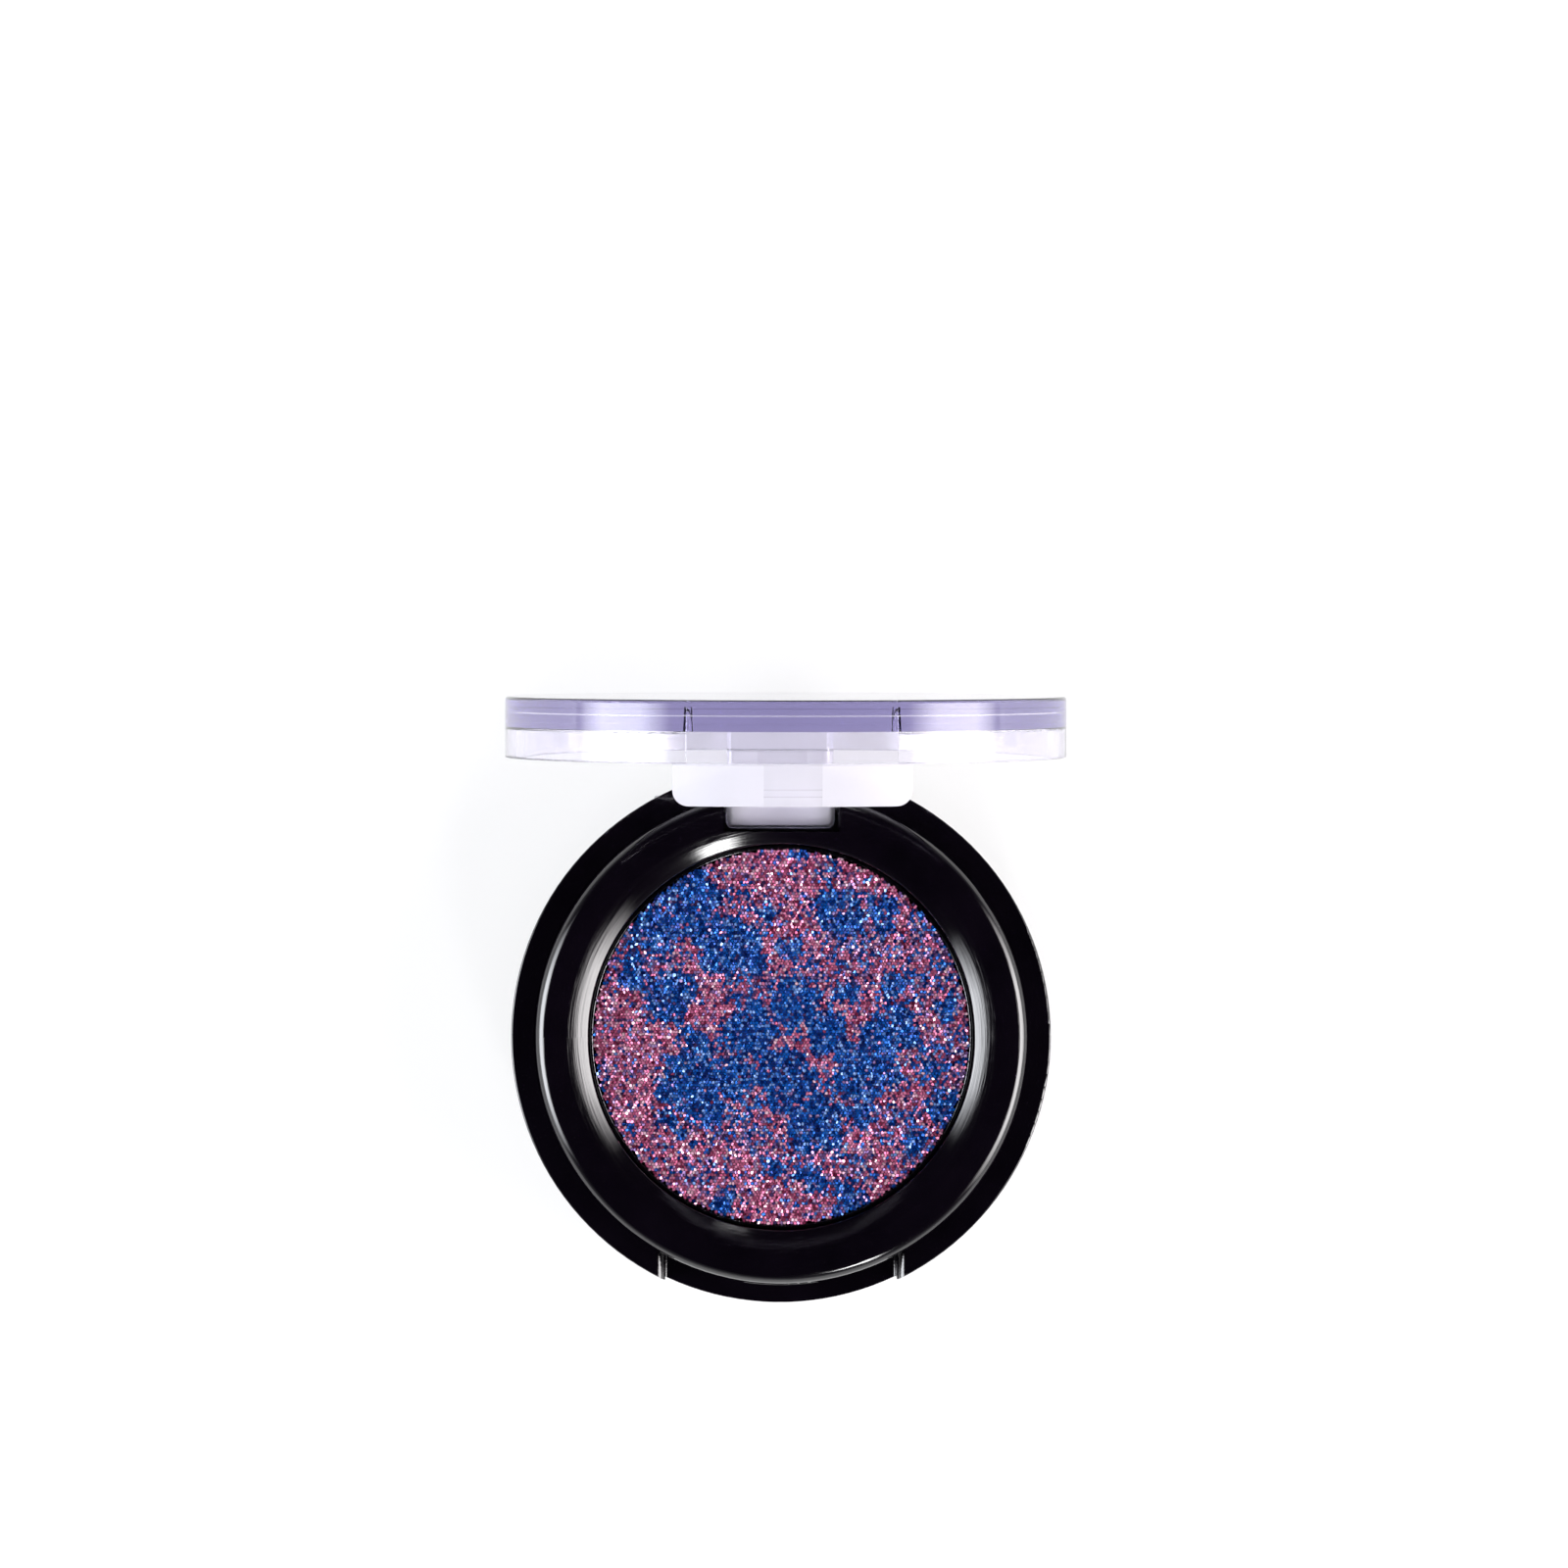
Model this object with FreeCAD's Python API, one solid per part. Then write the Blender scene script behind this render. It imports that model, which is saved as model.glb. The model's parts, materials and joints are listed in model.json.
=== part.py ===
import FreeCAD, Part
import math
import os

# A round single-pan eyeshadow compact with a clear hinged lid, shown open.
# Millimetres. The origin is the centre of the base's underside, +Z up, the front is -Y and the hinge is at +Y.

Vector = FreeCAD.Vector

# Pan and powder
pan_radius = 13.27
pan_depth = 3.6
pan_wall = 0.22
pan_corner = 0.5
powder_edge_drop = 0.12
powder_crown = 0.3
adhesive_radius = 9.0
adhesive_thickness = 0.2

# Inner tray: from the pan outwards a sloping mouth, then a flat ring with a rounded outer edge
pan_clearance = 0.08
mouth_width = 1.5
mouth_drop = 0.8
mouth_edge_rounding = 0.15
mouth_bulge = 0.1
mouth_curve = 7.0
pan_rim_drop = 0.25
ring_width = 2.2
ring_edge_rounding = 1.0
ring_rise = 1.45
ring_thickness = 1.2
tray_wall = 0.8
well_floor = 1.2

# Base shell
tray_clearance = 0.05
ledge_width = 1.6
ledge_height = 7.95
ledge_rounding = 0.15
base_floor = 1.4
foot_rounding = 1.0

# Blank label that fills its recess under the base
label_radius = 13.8
label_thickness = 0.12
label_clearance = 0.2

# Hinge: two pins pressed into the base's ears turn in the ends of the lid's knuckle
hinge_inset = 2.6
barrel_radius = 1.7
barrel_floor_gap = 1.14
knuckle_half_width = 3.8
knuckle_end_rounding = 0.5
knuckle_side_gap = 0.2
knuckle_front_gap = 0.2
ear_cover = 0.4
ear_top_gap = 0.35
ear_tray_gap = 0.2
pin_radius = 0.6
pin_running_gap = 0.05
pin_reach = 1.2
pin_bore_depth_gap = 0.1
pin_end_inset = 0.7
pin_chamfer = 0.1
rest_opening = 88.1

# Lid
lid_seat_gap = 0.05
lid_plate = 2.01
lid_rim_rounding = 0.25
lid_inner_rounding = 0.2
skirt_height = 2.04
skirt_wall = 1.25
skirt_edge_rounding = 0.08
core_hole_offset = 6.36
core_hole_inset = 1.8
core_hole_depth = 1.55
core_hole_mouth = 0.34
core_hole_tip = 0.26

# Latch: the lid's lug drops into a recess at the front, and its bead passes under the tray's catch
lug_half_width = 7.6
lug_drop = 2.65
lug_wall = 0.9
lug_corner = 1.0
lug_side_gap = 0.45
lug_floor_gap = 0.35
lug_pocket_half_width = 6.6
latch_pad_half_width = 1.85
latch_pad_rise = 0.12
bead_rise = 0.25
bead_height = 0.44
bead_bottom = 0.62
recess_mouth_rounding = 0.8
recess_floor_rounding = 0.2
catch_half_width = 2.58
catch_reach = 0.25
catch_height = 0.6
catch_bottom = 1.4
catch_rounding = 0.12

# Cutting tools run past what they cut by this much
overrun = 1.0
# Stand-off that keeps a cutting face from lying in the face that it leaves
hair = 0.02

# Radii from the pan outwards
well_radius = pan_radius + pan_clearance
mouth_radius = well_radius + mouth_width
tray_radius = mouth_radius + ring_width
base_inner_radius = tray_radius + tray_clearance
base_radius = base_inner_radius + ledge_width
lid_radius = base_radius
skirt_inner_radius = lid_radius - skirt_wall
lug_inner_radius = lid_radius - lug_wall
pan_inner_radius = pan_radius - pan_wall

# Heights from the table upwards
ring_top = ledge_height + ring_rise
mouth_bottom = ring_top - mouth_drop
pan_rim = mouth_bottom - pan_rim_drop
pan_bottom = pan_rim - pan_depth
well_top = pan_bottom - adhesive_thickness
well_bottom = well_top - well_floor
ring_underside = ring_top - ring_thickness
skirt_bottom = ledge_height + lid_seat_gap
plate_underside = skirt_bottom + skirt_height
lid_top = plate_underside + lid_plate
lug_bottom = skirt_bottom - lug_drop
recess_floor = lug_bottom - lug_floor_gap

# Hinge axis, along X
hinge_y = base_radius - hinge_inset
hinge_z = base_floor + barrel_floor_gap + barrel_radius
slot_half_width = knuckle_half_width + knuckle_side_gap
slot_front = hinge_y - barrel_radius - knuckle_front_gap
ear_outer = math.sqrt(base_inner_radius ** 2 - (hinge_y - pin_radius - ear_cover) ** 2)
ear_top = ring_underside - ear_top_gap
pin_inner_end = knuckle_half_width - pin_reach
pin_outer_end = math.sqrt(base_radius ** 2 - hinge_y ** 2) - pin_end_inset
pin_bore_end = pin_inner_end - pin_bore_depth_gap


def on_xz(across, up):
    return Vector(across, 0, up)


def rounded_face(corners, place):
    """Flat face through (across, up, rounding) corners, each corner rounded by a tangent arc."""
    count = len(corners)
    starts = []
    ends = []
    arcs = []
    for index, (across, up, rounding) in enumerate(corners):
        corner = place(across, up)
        before = place(*corners[index - 1][:2]) - corner
        after = place(*corners[(index + 1) % count][:2]) - corner
        before.normalize()
        after.normalize()
        half_angle = before.getAngle(after) / 2
        reach = rounding / math.tan(half_angle)
        starts.append(corner + before * reach)
        ends.append(corner + after * reach)
        arc = None
        if rounding > 0:
            middle = before + after
            middle.normalize()
            bulge = corner + middle * (rounding / math.sin(half_angle) - rounding)
            arc = Part.Arc(starts[index], bulge, ends[index]).toShape()
        arcs.append(arc)
    edges = []
    for index in range(count):
        if arcs[index] is not None:
            edges.append(arcs[index])
        edges.append(Part.makeLine(ends[index], starts[(index + 1) % count]))
    return Part.Face(Part.Wire(edges))


def turned(corners):
    """Solid of revolution about Z from (radius, height, rounding) corners."""
    return rounded_face(corners, on_xz).revolve(Vector(), Vector(0, 0, 1), 360)


def block(x_range, y_range, z_range):
    low = Vector(x_range[0], y_range[0], z_range[0])
    return Part.makeBox(
        x_range[1] - x_range[0], y_range[1] - y_range[0], z_range[1] - z_range[0], low
    )


def drum(radius, z_range):
    return Part.makeCylinder(radius, z_range[1] - z_range[0], Vector(0, 0, z_range[0]))


def tube(inner, outer, z_range):
    return drum(outer, z_range).cut(drum(inner, z_range))


def rod(radius, x_range, y, z):
    start = Vector(x_range[0], y, z)
    return Part.makeCylinder(radius, x_range[1] - x_range[0], start, Vector(1, 0, 0))


def mirrored(side, near, far):
    """X range from near to far on the side -1 (left) or +1 (right)."""
    return (near, far) if side > 0 else (-far, -near)


def hinge_slot(bottom):
    """Room for the knuckle, open to the rear and upwards."""
    return block(
        (-slot_half_width, slot_half_width),
        (slot_front, base_radius + overrun),
        (bottom, ring_top + overrun),
    )


def front_arc(half_width, inner, outer, z_range):
    """Part of a ring at the front of the compact, as wide as 2 * half_width."""
    window = block((-half_width, half_width), (-outer - overrun, 0), z_range)
    return tube(inner, outer, z_range).common(window)


def make_front_recess():
    """Cutter for the recess that takes the lid's lug, with its upper edges eased."""
    half_width = lug_half_width + lug_side_gap
    mouth = half_width + recess_mouth_rounding + overrun
    line = ledge_height + hair
    outline = [
        (-mouth, ring_top, 0),
        (-mouth, line, 0),
        (-half_width, line, recess_mouth_rounding),
        (-half_width, recess_floor, recess_floor_rounding),
        (half_width, recess_floor, recess_floor_rounding),
        (half_width, line, recess_mouth_rounding),
        (mouth, line, 0),
        (mouth, ring_top, 0),
    ]
    back = math.sqrt(base_inner_radius ** 2 - half_width ** 2) - overrun
    face = rounded_face(outline, on_xz)
    face.translate(Vector(0, -base_radius - overrun, 0))
    return face.extrude(Vector(0, base_radius + overrun - back, 0))


def make_base_shell():
    label_recess = label_radius + label_clearance
    shell = turned([
        (0, label_thickness, 0),
        (label_recess, label_thickness, 0),
        (label_recess, 0, 0),
        (base_radius, 0, foot_rounding),
        (base_radius, ledge_height, ledge_rounding),
        (base_inner_radius, ledge_height, 0),
        (base_inner_radius, base_floor, 0),
        (0, base_floor, 0),
    ])
    ear_zone = drum(base_radius - ledge_width / 2, (base_floor / 2, ear_top))
    for side in (-1, 1):
        ear = block(
            mirrored(side, slot_half_width, ear_outer),
            (slot_front, base_radius),
            (base_floor / 2, ear_top),
        )
        shell = shell.fuse(ear.common(ear_zone))
    # Behind the hinge axis the ledge falls away in a round, out of the lid's path
    rear_corner = block(
        (-base_radius, base_radius),
        (hinge_y, base_radius + overrun),
        (hinge_z, ledge_height + overrun),
    )
    rear_round = rod(ledge_height - hinge_z, (-base_radius, base_radius), hinge_y, hinge_z)
    shell = shell.cut(rear_corner.cut(rear_round))
    shell = shell.cut(hinge_slot(base_floor))
    shell = shell.cut(rod(pin_radius, (-base_radius, base_radius), hinge_y, hinge_z))
    shell = shell.cut(make_front_recess())
    return shell.removeSplitter()


def make_catch():
    """Short rib on the tray's front wall, with its outer edges eased."""
    root = tray_radius - tray_wall / 2
    reach = tray_radius + catch_reach
    low = recess_floor + catch_bottom
    high = low + catch_height
    ring = turned([(root, low, 0), (reach, low, catch_rounding), (reach, high, catch_rounding), (root, high, 0)])
    return ring.common(block((-catch_half_width, catch_half_width), (-reach - overrun, 0), (low, high)))


def make_inner_tray():
    wall_inner = tray_radius - tray_wall
    well_outer = well_radius + tray_wall
    slope_middle = (well_radius + mouth_radius) / 2
    tray = turned([
        (0, well_bottom, 0),
        (well_outer, well_bottom, 0),
        (well_outer, ring_underside, 0),
        (wall_inner, ring_underside, 0),
        (wall_inner, base_floor, 0),
        (tray_radius, base_floor, 0),
        (tray_radius, ring_top, ring_edge_rounding),
        (mouth_radius, ring_top, mouth_edge_rounding),
        (slope_middle, (ring_top + mouth_bottom) / 2 + mouth_bulge, mouth_curve),
        (well_radius, mouth_bottom, mouth_edge_rounding),
        (well_radius, well_top, 0),
        (0, well_top, 0),
    ])
    ear_room = block(
        (-ear_outer - ear_tray_gap, ear_outer + ear_tray_gap),
        (slot_front - ear_tray_gap / 2, base_radius),
        (0, ear_top + ear_tray_gap),
    )
    tray = tray.cut(ear_room).cut(hinge_slot(0))
    return tray.fuse(make_catch()).removeSplitter()


def make_powder_pan():
    inner_corner = pan_corner - pan_wall
    rim_rounding = pan_wall / 3
    return turned([
        (0, pan_bottom, 0),
        (pan_radius, pan_bottom, pan_corner),
        (pan_radius, pan_rim, rim_rounding),
        (pan_inner_radius, pan_rim, rim_rounding),
        (pan_inner_radius, pan_bottom + pan_wall, inner_corner),
        (0, pan_bottom + pan_wall, 0),
    ])


def make_pressed_powder():
    edge_height = pan_rim - powder_edge_drop
    top = edge_height + powder_crown
    cake = turned([
        (0, pan_bottom + pan_wall, 0),
        (pan_inner_radius, pan_bottom + pan_wall, pan_corner - pan_wall),
        (pan_inner_radius, top, 0),
        (0, top, 0),
    ])
    dome_radius = (pan_inner_radius ** 2 + powder_crown ** 2) / (2 * powder_crown)
    dome = Part.makeSphere(dome_radius, Vector(0, 0, top - dome_radius))
    return cake.common(dome)


def make_pan_adhesive():
    return drum(adhesive_radius, (well_top, pan_bottom))


def make_base_label():
    return drum(label_radius, (0, label_thickness))


def make_hinge_pin(side):
    pin = rod(pin_radius, mirrored(side, pin_inner_end, pin_outer_end), hinge_y, hinge_z)
    rims = [edge for edge in pin.Edges if edge.Curve.TypeId == "Part::GeomCircle"]
    return pin.makeChamfer(pin_chamfer, rims)


def make_lug():
    """Lug at the front of the lid with its latch pad and bead, on the skirt's underside."""
    outline = [
        (-lug_half_width, plate_underside, 0),
        (-lug_half_width, lug_bottom, lug_corner),
        (lug_half_width, lug_bottom, lug_corner),
        (lug_half_width, plate_underside, 0),
    ]
    slab = rounded_face(outline, on_xz).extrude(Vector(0, -lid_radius - overrun, 0))
    lug = tube(lug_inner_radius, lid_radius, (lug_bottom, plate_underside)).common(slab)
    middle = lid_radius - lug_wall / 2
    pad_radius = lug_inner_radius - latch_pad_rise
    lug = lug.fuse(front_arc(latch_pad_half_width, pad_radius, middle, (lug_bottom, plate_underside)))
    bead_z = (lug_bottom + bead_bottom, lug_bottom + bead_bottom + bead_height)
    bead = front_arc(latch_pad_half_width, lug_inner_radius - bead_rise, middle, bead_z)
    return lug.fuse(bead)


def make_knuckle():
    """Hinge knuckle: a barrel on the axis and the arm from it up into the lid's plate."""
    width = (-knuckle_half_width, knuckle_half_width)
    depth = (hinge_y - barrel_radius, hinge_y + barrel_radius)
    knuckle = rod(barrel_radius, width, hinge_y, hinge_z)
    knuckle = knuckle.fuse(block(width, depth, (hinge_z, plate_underside + lid_plate / 2))).removeSplitter()
    ends = []
    for edge in knuckle.Edges:
        middle = edge.valueAt((edge.FirstParameter + edge.LastParameter) / 2)
        on_end = abs(edge.BoundBox.XLength) < hair and abs(middle.x) > knuckle_half_width - hair
        if on_end and middle.z < plate_underside + lid_plate / 2 - hair:
            ends.append(edge)
    knuckle = knuckle.makeFillet(knuckle_end_rounding, ends)
    bore = pin_radius + pin_running_gap
    for side in (-1, 1):
        reach = mirrored(side, pin_bore_end, knuckle_half_width + overrun)
        knuckle = knuckle.cut(rod(bore, reach, hinge_y, hinge_z))
    return knuckle


def make_clear_lid():
    lid = turned([
        (0, plate_underside, 0),
        (skirt_inner_radius, plate_underside, lid_inner_rounding),
        (skirt_inner_radius, skirt_bottom, skirt_edge_rounding),
        (lid_radius, skirt_bottom, skirt_edge_rounding),
        (lid_radius, lid_top, lid_rim_rounding),
        (0, lid_top, 0),
    ])
    pocket_z = (skirt_bottom - overrun, plate_underside)
    lid = lid.cut(front_arc(lug_pocket_half_width, skirt_inner_radius - overrun, lug_inner_radius, pocket_z))
    for side in (-1, 1):
        hole_radius = lid_radius - core_hole_inset
        hole_y = -math.sqrt(hole_radius ** 2 - core_hole_offset ** 2)
        mouth = Vector(side * core_hole_offset, hole_y, plate_underside)
        lid = lid.cut(Part.makeCone(core_hole_mouth, core_hole_tip, core_hole_depth, mouth))
    lid = lid.fuse(make_lug()).fuse(make_knuckle()).removeSplitter()
    lid.rotate(Vector(0, hinge_y, hinge_z), Vector(1, 0, 0), -rest_opening)
    return lid


def save(name, shape):
    solid = shape.Solids[0]
    print(f"{name}: {len(shape.Solids)} solid, valid {shape.isValid()}, {solid.Volume:.2f} mm3")
    solid.exportStep(f"parts/{name}.step")


os.makedirs("parts", exist_ok=True)
save("base_shell", make_base_shell())
save("inner_tray", make_inner_tray())
save("powder_pan", make_powder_pan())
save("pressed_powder", make_pressed_powder())
save("pan_adhesive", make_pan_adhesive())
save("clear_lid", make_clear_lid())
save("hinge_pin_left", make_hinge_pin(-1))
save("hinge_pin_right", make_hinge_pin(1))
save("base_label", make_base_label())
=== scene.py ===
import json
import math

import bmesh
import bpy
import numpy as np
from mathutils import Matrix, Vector, noise


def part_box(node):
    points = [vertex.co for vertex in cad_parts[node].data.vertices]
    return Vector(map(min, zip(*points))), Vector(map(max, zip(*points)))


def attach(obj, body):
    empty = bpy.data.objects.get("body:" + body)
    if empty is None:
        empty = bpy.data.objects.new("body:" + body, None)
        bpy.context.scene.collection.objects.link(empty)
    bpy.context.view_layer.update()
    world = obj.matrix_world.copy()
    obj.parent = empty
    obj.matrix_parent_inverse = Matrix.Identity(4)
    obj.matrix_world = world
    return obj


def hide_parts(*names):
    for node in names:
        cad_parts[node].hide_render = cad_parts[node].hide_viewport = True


# Looks of a single-pan eyeshadow compact with a clear lid. Metres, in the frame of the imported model.

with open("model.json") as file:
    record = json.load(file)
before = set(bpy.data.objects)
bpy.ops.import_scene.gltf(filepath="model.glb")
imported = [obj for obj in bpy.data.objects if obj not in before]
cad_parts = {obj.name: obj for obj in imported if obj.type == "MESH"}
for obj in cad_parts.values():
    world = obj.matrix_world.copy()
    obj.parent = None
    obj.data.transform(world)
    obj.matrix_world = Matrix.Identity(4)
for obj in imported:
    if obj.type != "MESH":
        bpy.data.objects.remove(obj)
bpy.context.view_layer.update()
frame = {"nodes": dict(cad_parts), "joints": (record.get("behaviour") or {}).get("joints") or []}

MM = 0.001
# Blender's vector noise starts from the clock unless it is given a seed
SEED = 41
noise.seed_set(SEED)

# The lid's hinge, and the lid's own upward and forward directions as it stands open
HINGE = frame["joints"][0]
HINGE_POINT = Vector(HINGE["pos_m"])
OPENING = -math.radians(HINGE["range_deg"][0])
LID_TURN = Matrix.Rotation(OPENING, 3, Vector(HINGE["axis"]))
LID_UP = LID_TURN @ Vector((0, 0, 1))
LID_FRONT = LID_TURN @ Vector((0, -1, 0))


# Node helpers

def new_material(name):
    """Material with its node tree and its Principled shader."""
    material = bpy.data.materials.new(name)
    material.use_nodes = True
    tree = material.node_tree
    return material, tree, tree.nodes["Principled BSDF"]


def add_node(tree, kind, **values):
    """New node of a kind, with these settings."""
    node = tree.nodes.new(kind)
    for key, value in values.items():
        setattr(node, key, value)
    return node


def set_inputs(node, **values):
    """Sets inputs by name, with an underscore for each space in the name."""
    for key, value in values.items():
        node.inputs[key.replace("_", " ")].default_value = value


def calculate(tree, operation, *sources, clamp=False):
    """Math node whose sources are sockets or plain numbers."""
    node = add_node(tree, "ShaderNodeMath", operation=operation, use_clamp=clamp)
    for socket, source in zip(node.inputs, sources):
        if isinstance(source, (int, float)):
            socket.default_value = source
        else:
            tree.links.new(source, socket)
    return node.outputs[0]


def along(tree, vector, direction):
    """Length of a vector along a fixed direction."""
    node = add_node(tree, "ShaderNodeVectorMath", operation="DOT_PRODUCT")
    node.inputs[1].default_value = direction
    tree.links.new(vector, node.inputs[0])
    return node.outputs["Value"]


def split_vector(tree, vector):
    """X, Y and Z of a vector."""
    node = add_node(tree, "ShaderNodeSeparateXYZ")
    tree.links.new(vector, node.inputs[0])
    return node.outputs


def ramp(tree, source, stops):
    """Colour ramp fed by a value, with stops of a position and a colour or a grey level."""
    node = add_node(tree, "ShaderNodeValToRGB")
    elements = node.color_ramp.elements
    while len(elements) < len(stops):
        elements.new(0.5)
    for element, (position, colour) in zip(elements, stops):
        element.position = position
        element.color = (*colour, 1) if isinstance(colour, tuple) else (colour, colour, colour, 1)
    tree.links.new(source, node.inputs["Fac"])
    return node.outputs["Color"]


def noise_value(tree, vector, scale, detail=3.0, roughness=0.5):
    """Noise around 0.5, its scale in waves per metre."""
    node = add_node(tree, "ShaderNodeTexNoise")
    set_inputs(node, Scale=scale, Detail=detail, Roughness=roughness)
    tree.links.new(vector, node.inputs["Vector"])
    return node.outputs["Fac"]


def colour_by(tree, shader, value, dark, light):
    """Base colour that follows a noise value from dark to light."""
    colour = ramp(tree, value, [(0.3, dark), (0.7, light)])
    tree.links.new(colour, shader.inputs["Base Color"])


def roughness_by(tree, shader, value, low, high):
    """Roughness that follows a noise value from low to high."""
    node = add_node(tree, "ShaderNodeMapRange")
    set_inputs(node, To_Min=low, To_Max=high)
    tree.links.new(value, node.inputs["Value"])
    tree.links.new(node.outputs["Result"], shader.inputs["Roughness"])


def bump(tree, shader, height, strength, distance):
    """Fine relief that follows a height."""
    node = add_node(tree, "ShaderNodeBump")
    set_inputs(node, Strength=strength, Distance=distance)
    tree.links.new(height, node.inputs["Height"])
    tree.links.new(node.outputs["Normal"], shader.inputs["Normal"])


def object_coordinates(tree):
    return add_node(tree, "ShaderNodeTexCoord").outputs["Object"]


def ring_coordinates(tree, around):
    """Coordinates that run out from the Z axis, up it, and only slowly around it."""
    place = split_vector(tree, object_coordinates(tree))
    angle = calculate(tree, "ARCTAN2", place["Y"], place["X"])
    square_x = calculate(tree, "POWER", place["X"], 2)
    square_y = calculate(tree, "POWER", place["Y"], 2)
    out = calculate(tree, "SQRT", calculate(tree, "ADD", square_x, square_y))
    join = add_node(tree, "ShaderNodeCombineXYZ")
    tree.links.new(out, join.inputs["X"])
    tree.links.new(calculate(tree, "MULTIPLY", angle, around), join.inputs["Y"])
    tree.links.new(place["Z"], join.inputs["Z"])
    return join.outputs[0]


# Materials of the base

def black_plastic():
    """Glossy black moulding with fine turned streaks."""
    material, tree, shader = new_material("black_plastic")
    streaks = noise_value(tree, ring_coordinates(tree, around=0.0005), scale=7000)
    clouds = noise_value(tree, object_coordinates(tree), scale=260, detail=5)
    colour_by(tree, shader, clouds, (0.0012, 0.0007, 0.0018), (0.0026, 0.0016, 0.0036))
    roughness_by(tree, shader, streaks, 0.04, 0.16)
    bump(tree, shader, streaks, strength=0.45, distance=0.02 * MM)
    set_inputs(shader, Specular_IOR_Level=0.75)
    return material


def pan_metal():
    """Drawn aluminium, streaked around the pan, its colour kept far darker than bare metal as painted shade,
    so that the rim shows dark.
    """
    material, tree, shader = new_material("pan_metal")
    streaks = noise_value(tree, ring_coordinates(tree, around=0.004), scale=6000, detail=4)
    # Painted shade: the metal's colour is kept very dark, which dims the rim's reflections
    colour_by(tree, shader, streaks, (0.1, 0.1, 0.11), (0.18, 0.18, 0.19))
    roughness_by(tree, shader, streaks, 0.06, 0.14)
    bump(tree, shader, streaks, strength=0.05, distance=0.02 * MM)
    set_inputs(shader, Metallic=1.0)
    return material


def pin_steel():
    """Ground steel wire."""
    material, tree, shader = new_material("pin_steel")
    grind = noise_value(tree, object_coordinates(tree), scale=5000, detail=2)
    colour_by(tree, shader, grind, (0.45, 0.45, 0.46), (0.6, 0.6, 0.62))
    roughness_by(tree, shader, grind, 0.2, 0.35)
    set_inputs(shader, Metallic=1.0)
    return material


def label_paper():
    """White paper with faint fibres."""
    material, tree, shader = new_material("label_paper")
    fibres = noise_value(tree, object_coordinates(tree), scale=2500, detail=6, roughness=0.65)
    colour_by(tree, shader, fibres, (0.74, 0.735, 0.72), (0.84, 0.838, 0.83))
    roughness_by(tree, shader, fibres, 0.45, 0.65)
    bump(tree, shader, fibres, strength=0.3, distance=0.02 * MM)
    return material


def adhesive():
    """Pale glue pad."""
    material, tree, shader = new_material("adhesive")
    foam = noise_value(tree, object_coordinates(tree), scale=1800, detail=4)
    colour_by(tree, shader, foam, (0.62, 0.6, 0.52), (0.74, 0.72, 0.65))
    roughness_by(tree, shader, foam, 0.5, 0.7)
    bump(tree, shader, foam, strength=0.3, distance=0.03 * MM)
    return material


# Clear lid: its steps from the outer face downwards, as shares of one depth, and how milky each step is

LID_DEPTH = 10 * MM
PLATE_STEP = 2.01 * MM / LID_DEPTH
SKIRT_STEP = PLATE_STEP + 2.04 * MM / LID_DEPTH
LUG_STEP = SKIRT_STEP + 2.65 * MM / LID_DEPTH
STEP_BLUR = 0.01
SKIRT_HAZE = 0.1
LUG_HAZE = 0.74
KNUCKLE_HAZE = 0.97
# The line where the mould halves meet, halfway down the plate's edge
PARTING_HAZE = 0.55
PARTING_WIDTH = 0.005
# The latch pad on the lug's inner face, and the two edges of its bead, which show through as clearer lines
LATCH_HALF_WIDTH = 1.85 * MM
BEAD_EDGES = (LUG_STEP - 1.06 * MM / LID_DEPTH, LUG_STEP - 0.62 * MM / LID_DEPTH)
BEAD_WIDTH = 0.004
LATCH_HAZE = 0.84
BEAD_HAZE = 0.4
# Milky faces look outwards: the least share of the lid's forward direction in their normals
OUTWARD = (0.2, 0.4)


def lid_depth(tree):
    """How far a point lies below the lid's outer face, along the lid's own axis, as a share of the depth."""
    outer_face = max(vertex.co.dot(LID_UP) for vertex in frame["nodes"]["clear_lid"].data.vertices)
    height = along(tree, object_coordinates(tree), LID_UP)
    return calculate(tree, "DIVIDE", calculate(tree, "SUBTRACT", outer_face, height), LID_DEPTH)


def step_haze(tree, depth):
    """Haze of the plate, skirt, lug and knuckle, with the parting line on the plate's edge."""
    parting = PLATE_STEP / 2
    stops = [(parting - PARTING_WIDTH, 0), (parting, PARTING_HAZE), (parting + PARTING_WIDTH, 0)]
    hazes = [0, SKIRT_HAZE, LUG_HAZE, KNUCKLE_HAZE]
    for border, above, below in zip((PLATE_STEP, SKIRT_STEP, LUG_STEP), hazes, hazes[1:]):
        stops += [(border - STEP_BLUR, above), (border + STEP_BLUR, below)]
    return ramp(tree, depth, stops)


def latch_window(tree, depth):
    """Share of the haze that is left in the middle of the lug, where its latch pad and bead show through."""
    sideways = calculate(tree, "ABSOLUTE", split_vector(tree, object_coordinates(tree))["X"])
    beside = calculate(tree, "GREATER_THAN", sideways, LATCH_HALF_WIDTH)
    stops = [(SKIRT_STEP, 1), (SKIRT_STEP + BEAD_WIDTH, LATCH_HAZE)]
    for edge in BEAD_EDGES:
        stops += [(edge - BEAD_WIDTH, LATCH_HAZE), (edge, BEAD_HAZE), (edge + BEAD_WIDTH, LATCH_HAZE)]
    stops += [(LUG_STEP - BEAD_WIDTH, LATCH_HAZE), (LUG_STEP, 1)]
    return calculate(tree, "MAXIMUM", beside, ramp(tree, depth, stops))


def outward(tree):
    """1 on faces that look out to the closed lid's front, 0 on inner faces and undersides."""
    normal = add_node(tree, "ShaderNodeTexCoord").outputs["Normal"]
    node = add_node(tree, "ShaderNodeMapRange", interpolation_type="SMOOTHSTEP")
    set_inputs(node, From_Min=OUTWARD[0], From_Max=OUTWARD[1])
    tree.links.new(along(tree, normal, LID_FRONT), node.inputs["Value"])
    return node.outputs["Result"]


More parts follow.
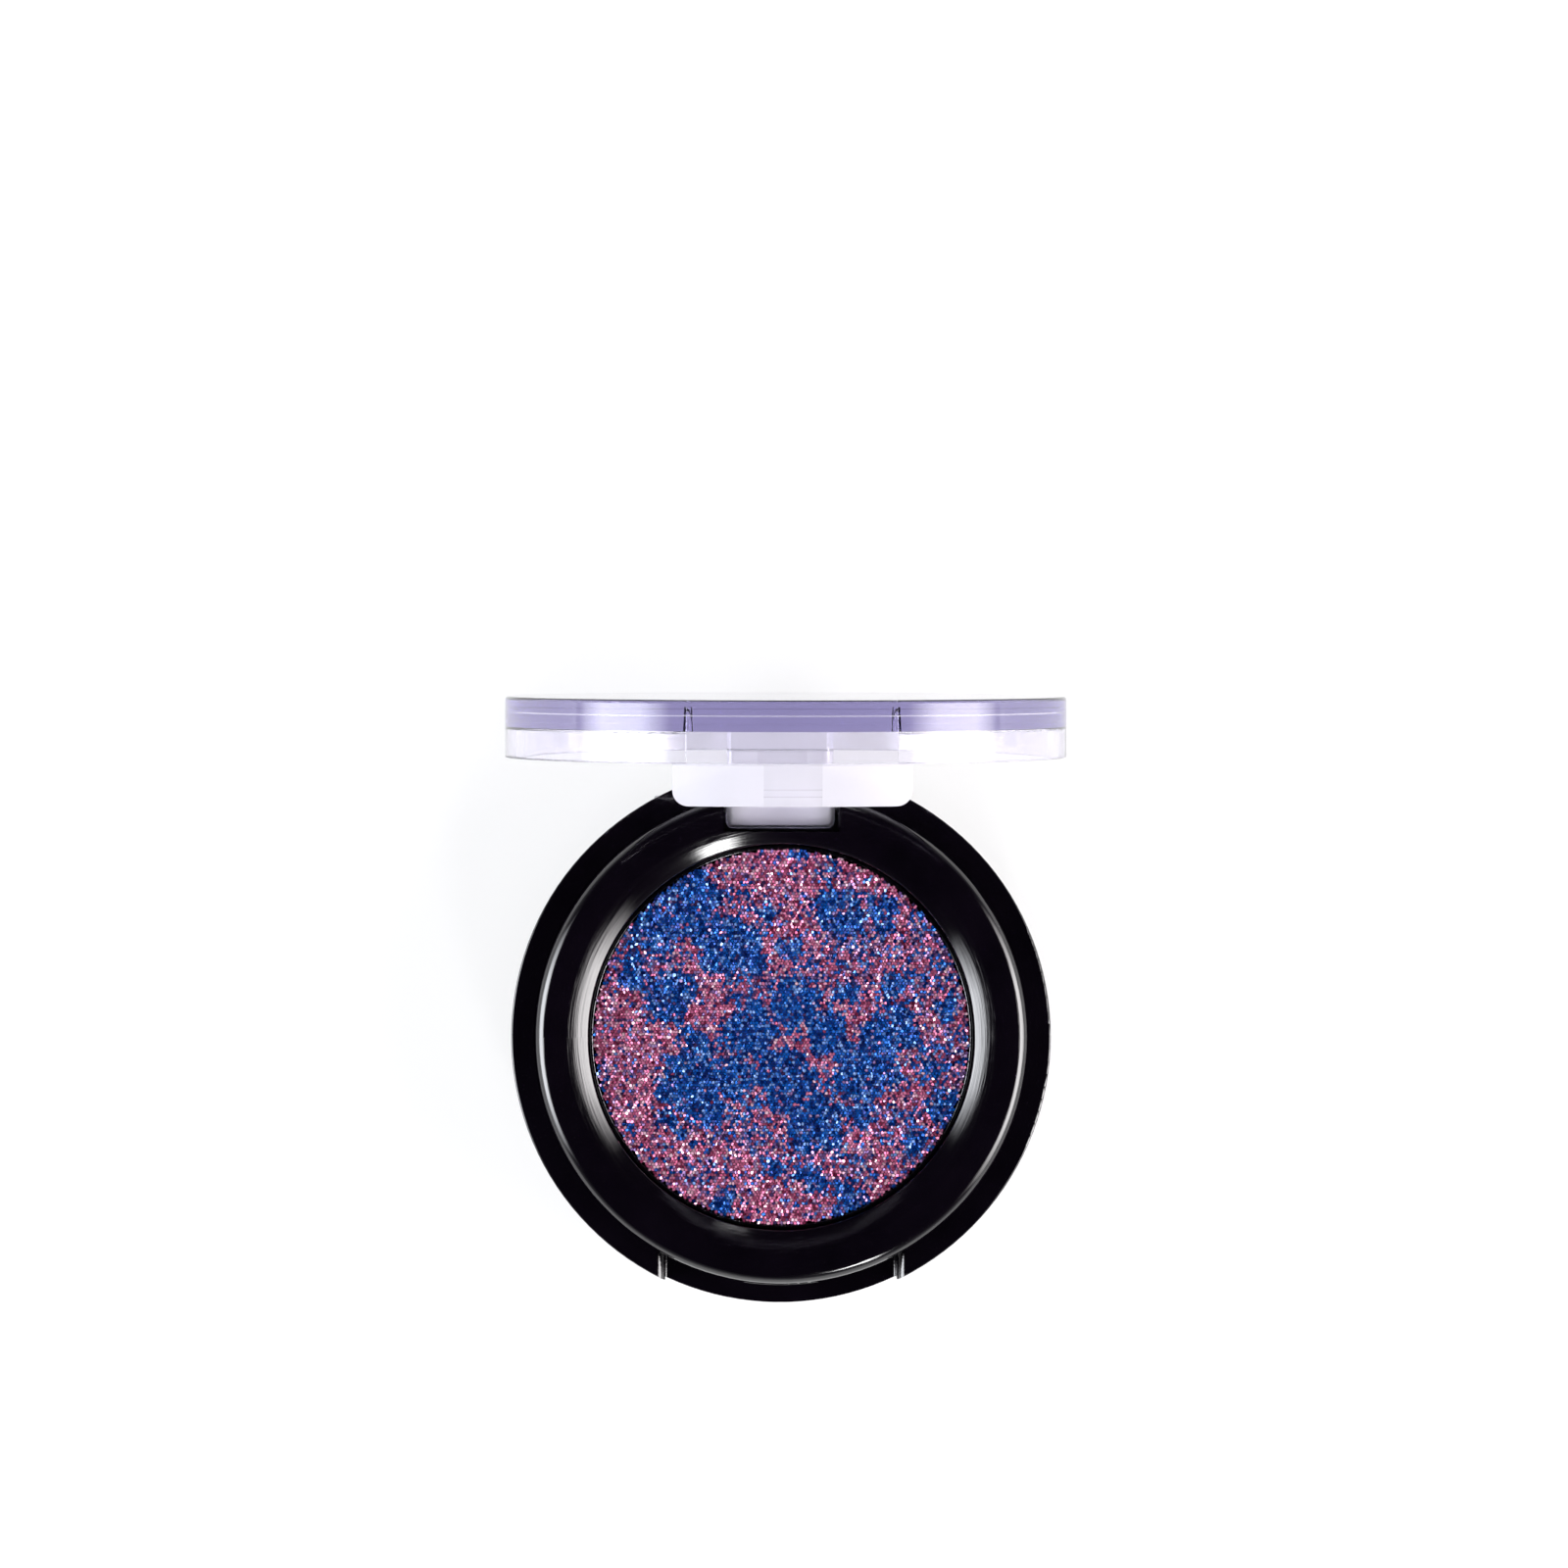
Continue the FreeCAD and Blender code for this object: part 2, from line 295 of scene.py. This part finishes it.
def clear_plastic():
    """Clear moulding, tinted through its thickness and milky on the outer faces of its lug and knuckle."""
    material, tree, shader = new_material("clear_plastic")
    depth = lid_depth(tree)
    haze = calculate(tree, "MULTIPLY", step_haze(tree, depth), latch_window(tree, depth))
    haze = calculate(tree, "MULTIPLY", haze, outward(tree))
    tree.links.new(calculate(tree, "SUBTRACT", 1, haze), shader.inputs["Transmission Weight"])
    flow = noise_value(tree, object_coordinates(tree), scale=120)
    roughness_by(tree, shader, flow, 0.0, 0.04)
    bump(tree, shader, flow, strength=0.05, distance=0.05 * MM)
    set_inputs(shader, Base_Color=(0.92, 0.905, 0.97, 1), IOR=1.49)
    tint = add_node(tree, "ShaderNodeVolumeAbsorption")
    set_inputs(tint, Color=(0.08, 0.0, 0.5, 1), Density=30.0)
    tree.links.new(tint.outputs[0], tree.nodes["Material Output"].inputs["Volume"])
    return material


# Powder: a cake whose top is thousands of small tilted grains

GRAIN_PITCH = 0.225 * MM
ROW_PITCH = GRAIN_PITCH * math.sqrt(3) / 2
GRAIN_JITTER = 0.42 * GRAIN_PITCH
JITTER_PERIOD = 0.31 * MM
# Share of a grain's cell that its facet fills, its highest rise, the spread of its slope, and its roughness
GRAIN_INSET = 0.8
GRAIN_LIFT = 0.05 * MM
GRAIN_TILT = 0.4
GRAIN_SHINE = (0.18, 0.45)
# The valleys between the grains are lower, and the slopes down to them are darker: painted shade, the
# grain's colour dimmed
VALLEY_DEPTH = 0.06 * MM
VALLEY_PAINTED_SHADE = 0.26
# The cake's edge lies this far below the pan's rim. Corners near the edge are drawn out onto it
RIM_STEP = 0.03 * MM
RIM_SNAP = 0.2 * GRAIN_PITCH
RIM_MARGIN = 0.35 * GRAIN_PITCH
# Beta distribution of a grain's shade, and the shades of each pigment from dark to light. The palest shades
# are partly painted glints: pale grains that stand in for the sparkle of the glitter, besides the pigment's
# own tones
SHADE_SPREAD = (1.1, 1.3)
PINK_SHADES = [(0.17, 0.01, 0.05), (0.55, 0.11, 0.24), (0.82, 0.27, 0.46), (0.98, 0.68, 0.8)]
LILAC_SHADES = [(0.03, 0.012, 0.07), (0.15, 0.07, 0.24), (0.34, 0.2, 0.48), (0.58, 0.4, 0.68)]
BLUE_SHADES = [(0.001, 0.008, 0.1), (0.002, 0.047, 0.31), (0.006, 0.135, 0.61), (0.28, 0.46, 0.92)]
# Chances that a grain is lilac, and if not, that it is blue: on pink ground, in mixed and in blue patches
PINK_CHANCES = np.array((0.2, 0.1))
MIXED_CHANCES = np.array((0.32, 0.5))
BLUE_CHANCES = np.array((0.06, 0.98))
# Blue patches, in millimetres from the middle: x, y, radius
BLUE_PATCHES = [
    (-6.3, 9.7, 2.2), (-8.8, 7.7, 1.8), (-3.6, 6.3, 2.2), (-1.9, 5.0, 1.0), (-10.1, 4.6, 1.2),
    (-7.8, 2.8, 1.9), (0.6, 6.2, 0.9), (-1.1, 8.5, 0.6), (4.0, 8.7, 1.8), (6.9, 8.5, 1.3),
    (3.3, 11.5, 0.6), (1.3, 12.7, 0.5), (1.0, 2.4, 1.9), (-2.2, 0.5, 2.0), (2.9, 0.5, 1.8),
    (7.6, 0.5, 1.9), (5.9, -2.2, 2.4), (-6.3, -3.2, 2.3), (-6.0, -0.8, 1.2), (0.1, -2.9, 2.2),
    (2.5, -6.2, 2.0), (5.7, -5.4, 0.8), (-7.9, -5.4, 0.6), (-6.8, -6.7, 0.4), (-4.6, -5.2, 1.0),
    (11.5, 1.9, 0.9), (10.7, -1.9, 0.8), (11.3, -5.0, 1.1), (9.4, -7.3, 0.8), (-3.9, -11.3, 0.9),
    (4.8, -11.7, 1.4), (-0.6, -9.3, 0.7), (1.9, -9.6, 0.9), (4.5, 3.1, 0.7), (7.7, 3.6, 0.9),
    (-5.4, 7.9, 1.5), (-2.9, -2.8, 1.5),
]
# Patches where blue and pink grains mix, read in the same way
MIXED_PATCHES = [
    (-11.8, 4.8, 1.6), (-9.0, 5.8, 2.4), (-3.4, 9.2, 1.4), (1.8, 4.6, 1.4), (5.6, 7.4, 2.4),
    (10.3, 7.8, 1.4), (10.3, 4.3, 2.2), (5.0, 4.2, 1.6), (-2.0, -6.2, 1.9), (-4.8, -5.2, 1.8),
    (0.2, -8.0, 2.0), (8.6, -6.4, 1.9), (9.8, -8.2, 1.6), (4.6, -9.2, 1.8), (10.8, -1.5, 2.2),
    (-12.4, -2.4, 0.7), (-1.2, 2.6, 2.2), (4.0, -4.2, 2.6), (-3.6, -1.0, 2.0), (-5.4, -9.2, 1.0),
]
# Ragged borders of the patches: period and reach of two waves, and how softly the colours meet there
BORDER_WAVES = [(1.1 * MM, 0.7 * MM), (0.45 * MM, 0.45 * MM)]
BLUE_BORDER = 0.5 * MM
MIXED_BORDER = 1.2 * MM
# How far apart the layers of the noise are taken, so that the waves don't follow each other
LAYER_STEP = 7.3


def wave(x, y, period, layer):
    """Smooth noise between -1 and 1 over the pan, another one for each layer."""
    return noise.noise(Vector((x / period, y / period, LAYER_STEP * layer)))


def patch_share(patches, x, y, border):
    """How far a point lies in the patches: 0 outside, 1 inside, in between along their ragged borders."""
    reach = max(
        radius * MM - math.hypot(x - centre_x * MM, y - centre_y * MM)
        for centre_x, centre_y, radius in patches
    )
    for layer, (period, depth) in enumerate(BORDER_WAVES):
        reach += depth * wave(x, y, period, layer)
    return min(max(0.5 + reach / border, 0), 1)


def grain_shades(draw, x, y):
    """Shades of the pigment that a grain at this point is made of."""
    chances = PINK_CHANCES
    chances = chances + (MIXED_CHANCES - chances) * patch_share(MIXED_PATCHES, x, y, MIXED_BORDER)
    chances = chances + (BLUE_CHANCES - chances) * patch_share(BLUE_PATCHES, x, y, BLUE_BORDER)
    lilac, blue = chances
    if draw.random() < lilac:
        return LILAC_SHADES
    return BLUE_SHADES if draw.random() < blue else PINK_SHADES


def mix_shades(shades, level):
    """Colour at a level 0..1 along a list of shades."""
    place = level * (len(shades) - 1)
    index = min(int(place), len(shades) - 2)
    return np.array(shades[index]) + (place - index) * np.subtract(shades[index + 1], shades[index])


class PowderTop:
    """Jittered honeycomb of grains: a tilted facet on each, and low valleys between them."""

    def __init__(self, radius, edge, peak):
        self.radius = radius
        self.edge = edge
        self.peak = peak
        self.draw = np.random.default_rng(SEED)
        self.valleys = {}
        self.vertices = []
        self.faces = []
        self.colours = []
        self.shines = []

    def height(self, x, y):
        """Crown of the cake, highest in the middle."""
        return self.edge + (self.peak - self.edge) * (1 - (x * x + y * y) / self.radius ** 2)

    def centre(self, i, j):
        """Middle of grain i in row j of the honeycomb."""
        return np.array(((i + j / 2) * GRAIN_PITCH, j * ROW_PITCH))

    def valley(self, kind, i, j):
        """Index of the low corner between three grains, those above or below a diagonal of the honeycomb."""
        key = (kind, i, j)
        if key not in self.valleys:
            first = (i, j) if kind == "below" else (i + 1, j + 1)
            x, y = sum(self.centre(*owner) for owner in (first, (i + 1, j), (i, j + 1))) / 3
            jitter = noise.noise_vector(Vector((x, y, 0)) / JITTER_PERIOD) * GRAIN_JITTER
            x += jitter.x
            y += jitter.y
            distance = math.hypot(x, y)
            if distance > self.radius - RIM_SNAP:
                x *= self.radius / distance
                y *= self.radius / distance
            self.valleys[key] = len(self.vertices)
            self.vertices.append((x, y, self.height(x, y) - VALLEY_DEPTH))
        return self.valleys[key]

    def add_facet(self, ring):
        """Tilted facet inside a ring of valleys, with slopes down to them. Gives the facet's middle."""
        corners = np.array([self.vertices[index] for index in ring])
        middle = corners.mean(axis=0)
        tilt = self.draw.normal(0, GRAIN_TILT, 2)
        level = self.height(middle[0], middle[1]) + self.draw.uniform(0, GRAIN_LIFT)
        facet = []
        for offset in (corners - middle) * GRAIN_INSET:
            facet.append(len(self.vertices))
            height = min(level + tilt @ offset[:2], self.peak)
            self.vertices.append((middle[0] + offset[0], middle[1] + offset[1], height))
        self.faces.append(facet)
        for k in range(len(ring)):
            after = (k + 1) % len(ring)
            self.faces.append((ring[k], ring[after], facet[after], facet[k]))
        return middle

    def add_grain(self, i, j):
        """Grain within its six valleys, with a colour and a shine of its own, and painted shade on its
        slopes down to the valleys.
        """
        ring = [
            self.valley("below", i, j), self.valley("above", i - 1, j),
            self.valley("below", i - 1, j), self.valley("above", i - 1, j - 1),
            self.valley("below", i, j - 1), self.valley("above", i, j - 1),
        ]
        x, y, _ = self.add_facet(ring)
        # A grain's shade is drawn at random; the palest ones are partly painted glints
        colour = mix_shades(grain_shades(self.draw, x, y), self.draw.beta(*SHADE_SPREAD))
        self.colours.append((*colour, 1))
        # Slopes down to the valleys: the grain's colour dimmed as painted shade
        self.colours += [(*colour * VALLEY_PAINTED_SHADE, 1)] * len(ring)
        self.shines += [self.draw.uniform(*GRAIN_SHINE)] * (1 + len(ring))

    def fill(self):
        """Adds every grain whose middle lies within the rim."""
        rows = int(self.radius / ROW_PITCH) + 2
        for j in range(-rows, rows + 1):
            for i in range(-2 * rows, 2 * rows + 1):
                if np.linalg.norm(self.centre(i, j)) < self.radius - RIM_MARGIN:
                    self.add_grain(i, j)

    def make_mesh(self):
        """Open mesh of all grains, with their colours, the painted shade on their slopes, and their shines
        on its faces.
        """
        mesh = bpy.data.meshes.new("pressed_powder_grains")
        mesh.from_pydata(self.vertices, [], self.faces)
        colours = mesh.attributes.new("grain_colour_and_painted_shade", "FLOAT_COLOR", "FACE")
        colours.data.foreach_set("color", np.array(self.colours, np.float32).ravel())
        shines = mesh.attributes.new("grain_shine", "FLOAT", "FACE")
        shines.data.foreach_set("value", np.array(self.shines, np.float32))
        return mesh


def close_below(mesh, bottom):
    """Drops a wall from the mesh's open edge to the bottom and closes it there."""
    shell = bmesh.new()
    shell.from_mesh(mesh)
    open_edge = [edge for edge in shell.edges if edge.is_boundary]
    middle = shell.verts.new((0, 0, bottom))
    foot = {}
    for edge in open_edge:
        for vertex in edge.verts:
            if vertex not in foot:
                foot[vertex] = shell.verts.new((vertex.co.x, vertex.co.y, bottom))
        first, second = edge.verts
        grain = edge.link_faces[0]
        shell.faces.new((first, second, foot[second], foot[first]), grain)
        shell.faces.new((foot[first], foot[second], middle), grain)
    bmesh.ops.recalc_face_normals(shell, faces=shell.faces)
    shell.to_mesh(mesh)
    shell.free()


# Texture map of the cake, seen from above: its top, its wall as a thin ring, its underside small in a corner
TOP_REACH = 0.47
WALL_REACH = 0.49
UNDERSIDE_PLACE = Vector((0.05, 0.05))
UNDERSIDE_REACH = 0.03


def map_texture(mesh, radius, bottom):
    """Lays the cake out flat on the map, so that each grain has its own place there."""
    layer = mesh.uv_layers.new(name="OFBake")
    middle = Vector((0.5, 0.5))
    for face in mesh.polygons:
        corners = [mesh.vertices[index].co for index in face.vertices]
        low = [corner.z < bottom + RIM_STEP for corner in corners]
        for loop, corner, is_low in zip(face.loop_indices, corners, low):
            if all(low):
                place, reach = UNDERSIDE_PLACE, UNDERSIDE_REACH
            else:
                place, reach = middle, WALL_REACH if is_low else TOP_REACH
            layer.data[loop].uv = place + corner.xy / radius * reach


def powder_grains():
    """Pearly pigment: each grain has its own colour and shine, with fine grit over all. The colour holds
    painted shade on the grains' slopes, and its palest grains are partly painted glints.
    """
    material, tree, shader = new_material("powder_grains")
    colour = add_node(tree, "ShaderNodeAttribute", attribute_name="grain_colour_and_painted_shade")
    shine = add_node(tree, "ShaderNodeAttribute", attribute_name="grain_shine")
    tree.links.new(colour.outputs["Color"], shader.inputs["Base Color"])
    tree.links.new(shine.outputs["Fac"], shader.inputs["Roughness"])
    grit = noise_value(tree, object_coordinates(tree), scale=16000, detail=2)
    bump(tree, shader, grit, strength=0.4, distance=0.02 * MM)
    set_inputs(shader, Metallic=0.5)
    return material


def make_powder():
    """Cake with a grainy top, in the place of the plain powder solid."""
    low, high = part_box("pressed_powder")
    pan_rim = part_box("powder_pan")[1].z
    radius = (high.x - low.x) / 2
    top = PowderTop(radius, pan_rim - RIM_STEP, high.z)
    top.fill()
    mesh = top.make_mesh()
    close_below(mesh, low.z)
    map_texture(mesh, radius, low.z)
    mesh.materials.append(powder_grains())
    cake = bpy.data.objects.new("pressed_powder_cake", mesh)
    bpy.context.scene.collection.objects.link(cake)
    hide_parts("pressed_powder")
    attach(cake, "base")


def dress_nodes():
    """Gives each solid of the frame its finish."""
    black = black_plastic()
    steel = pin_steel()
    finishes = {
        "base_shell": black,
        "inner_tray": black,
        "powder_pan": pan_metal(),
        "pan_adhesive": adhesive(),
        "clear_lid": clear_plastic(),
        "base_label": label_paper(),
        "hinge_pin_left": steel,
        "hinge_pin_right": steel,
    }
    for node, finish in finishes.items():
        for slot in frame["nodes"][node].material_slots:
            slot.material = finish


# Stage, light and camera

FLOOR_SIZE = 4
# The floor's own grey under the lamps, and the glow that makes it white where it is seen
FLOOR_GREY = 0.4
FLOOR_GLOW = 0.64
# Colours of the dome, by height from the horizon to overhead
SKY = [(0.0, (0.9, 0.9, 0.92)), (0.15, (0.3, 0.3, 0.32)), (0.45, (0.006, 0.005, 0.008))]
LAMP_DISTANCE = 0.35
LAMP_FADE = 0.3
PAN_TARGET = Vector((0, 0, 8 * MM))
COOL = (0.93, 0.95, 1)
WARM = (1, 0.97, 0.98)
# The hinge lamp looks at the knuckle's upper front, given from the hinge's axis, with a beam of this radius
HINGE_FRONT = Vector((0, -0.9, 1.5)) * MM
HINGE_BEAM = 3.8 * MM
HINGE_BLEND = 0.6
HINGE_BULB = 1 * MM
HINGE_WATTS = 2.0
HINGE_TINT = (0.88, 0.83, 1)
CAMERA_PLACE = Vector((-8, 17.5, 344)) * MM
CAMERA_AIM = Vector((0.18, 17.5, 8)) * MM
# Focal length as a share of the sensor's width, which is in millimetres
FOCAL_SHARE = 3.0956
SENSOR_WIDTH = 36


def make_floor():
    """White floor that takes the shadow and glows where it is seen, also in gloss and through the lid."""
    bpy.ops.mesh.primitive_plane_add(size=FLOOR_SIZE)
    floor = bpy.context.object
    floor.name = "floor"
    material, tree, shader = new_material("floor")
    tree.nodes.remove(shader)
    path = add_node(tree, "ShaderNodeLightPath").outputs
    seen = calculate(tree, "ADD", path["Is Camera Ray"], path["Is Glossy Ray"], clamp=True)
    seen = calculate(tree, "ADD", seen, path["Is Transmission Ray"], clamp=True)
    glow = add_node(tree, "ShaderNodeEmission")
    tree.links.new(calculate(tree, "MULTIPLY", seen, FLOOR_GLOW), glow.inputs["Strength"])
    matte = add_node(tree, "ShaderNodeBsdfDiffuse")
    set_inputs(matte, Color=(FLOOR_GREY, FLOOR_GREY, FLOOR_GREY, 1))
    both = add_node(tree, "ShaderNodeAddShader")
    tree.links.new(matte.outputs[0], both.inputs[0])
    tree.links.new(glow.outputs[0], both.inputs[1])
    tree.links.new(both.outputs[0], tree.nodes["Material Output"].inputs["Surface"])
    floor.data.materials.append(material)


def make_world():
    """Studio dome: pale at the horizon and dark overhead."""
    world = bpy.data.worlds.new("studio")
    bpy.context.scene.world = world
    world.use_nodes = True
    tree = world.node_tree
    direction = add_node(tree, "ShaderNodeTexCoord").outputs["Generated"]
    colour = ramp(tree, split_vector(tree, direction)["Z"], SKY)
    tree.links.new(colour, tree.nodes["Background"].inputs["Color"])


def soften(lamp):
    """Lets an area lamp fade out towards its edges."""
    lamp.use_nodes = True
    tree = lamp.node_tree
    place = split_vector(tree, add_node(tree, "ShaderNodeNewGeometry").outputs["Parametric"])
    stops = [(0.0, 0), (LAMP_FADE, 1), (1 - LAMP_FADE, 1), (1.0, 0)]
    strength = calculate(tree, "MULTIPLY", ramp(tree, place["X"], stops), ramp(tree, place["Y"], stops))
    tree.links.new(strength, tree.nodes["Emission"].inputs["Strength"])


def place_lamp(lamp, target, azimuth, elevation):
    """Stands a lamp so that it looks at a target, its azimuth in degrees from +X towards +Y."""
    across = math.cos(math.radians(elevation))
    up = math.sin(math.radians(elevation))
    away = Vector((across * math.cos(math.radians(azimuth)), across * math.sin(math.radians(azimuth)), up))
    holder = bpy.data.objects.new(lamp.name, lamp)
    holder.location = target + away * LAMP_DISTANCE
    holder.rotation_euler = (-away).to_track_quat("-Z", "Y").to_euler()
    bpy.context.scene.collection.objects.link(holder)
    return holder


def softbox(name, azimuth, elevation, size, watts, tint=(1, 1, 1)):
    """Area lamp with soft edges that looks at the pan."""
    lamp = bpy.data.lights.new(name, "AREA")
    lamp.shape = "RECTANGLE"
    lamp.size, lamp.size_y = size
    lamp.energy = watts
    lamp.color = tint
    soften(lamp)
    return place_lamp(lamp, PAN_TARGET, azimuth, elevation)


def hinge_spot():
    """Narrow beam into the deep notch behind the pan, where the lid's knuckle turns."""
    lamp = bpy.data.lights.new("hinge_spot", "SPOT")
    lamp.energy = HINGE_WATTS
    lamp.color = HINGE_TINT
    lamp.shadow_soft_size = HINGE_BULB
    lamp.spot_size = 2 * math.atan(HINGE_BEAM / LAMP_DISTANCE)
    lamp.spot_blend = HINGE_BLEND
    return place_lamp(lamp, HINGE_POINT + HINGE_FRONT, azimuth=-90, elevation=84)


def make_lights():
    """Softboxes at the sides, a small lamp in front and two lamps from above that show in no gloss."""
    softbox("softbox_left", azimuth=183, elevation=22, size=(0.36, 0.28), watts=4.0, tint=COOL)
    softbox("softbox_right", azimuth=-6.5, elevation=22, size=(0.44, 0.28), watts=4.5, tint=WARM)
    softbox("lamp_front", azimuth=-71, elevation=31, size=(0.065, 0.08), watts=0.55)
    fill = softbox("fill_above", azimuth=-90, elevation=82, size=(0.3, 0.08), watts=0.33)
    for holder in (fill, hinge_spot()):
        holder.visible_glossy = False


def make_camera():
    """Camera over the compact, a little to its left, looking down."""
    camera = bpy.data.cameras.new("camera")
    camera.sensor_width = SENSOR_WIDTH
    camera.lens = FOCAL_SHARE * SENSOR_WIDTH
    camera.clip_start = 10 * MM
    aim = CAMERA_AIM - CAMERA_PLACE
    holder = bpy.data.objects.new("camera", camera)
    holder.location = CAMERA_PLACE
    holder.rotation_euler = (0, -math.atan2(aim.x, -aim.z), 0)
    bpy.context.scene.collection.objects.link(holder)
    bpy.context.scene.camera = holder


bpy.context.scene.view_settings.view_transform = "Standard"
dress_nodes()
make_powder()
make_floor()
make_world()
make_lights()
make_camera()
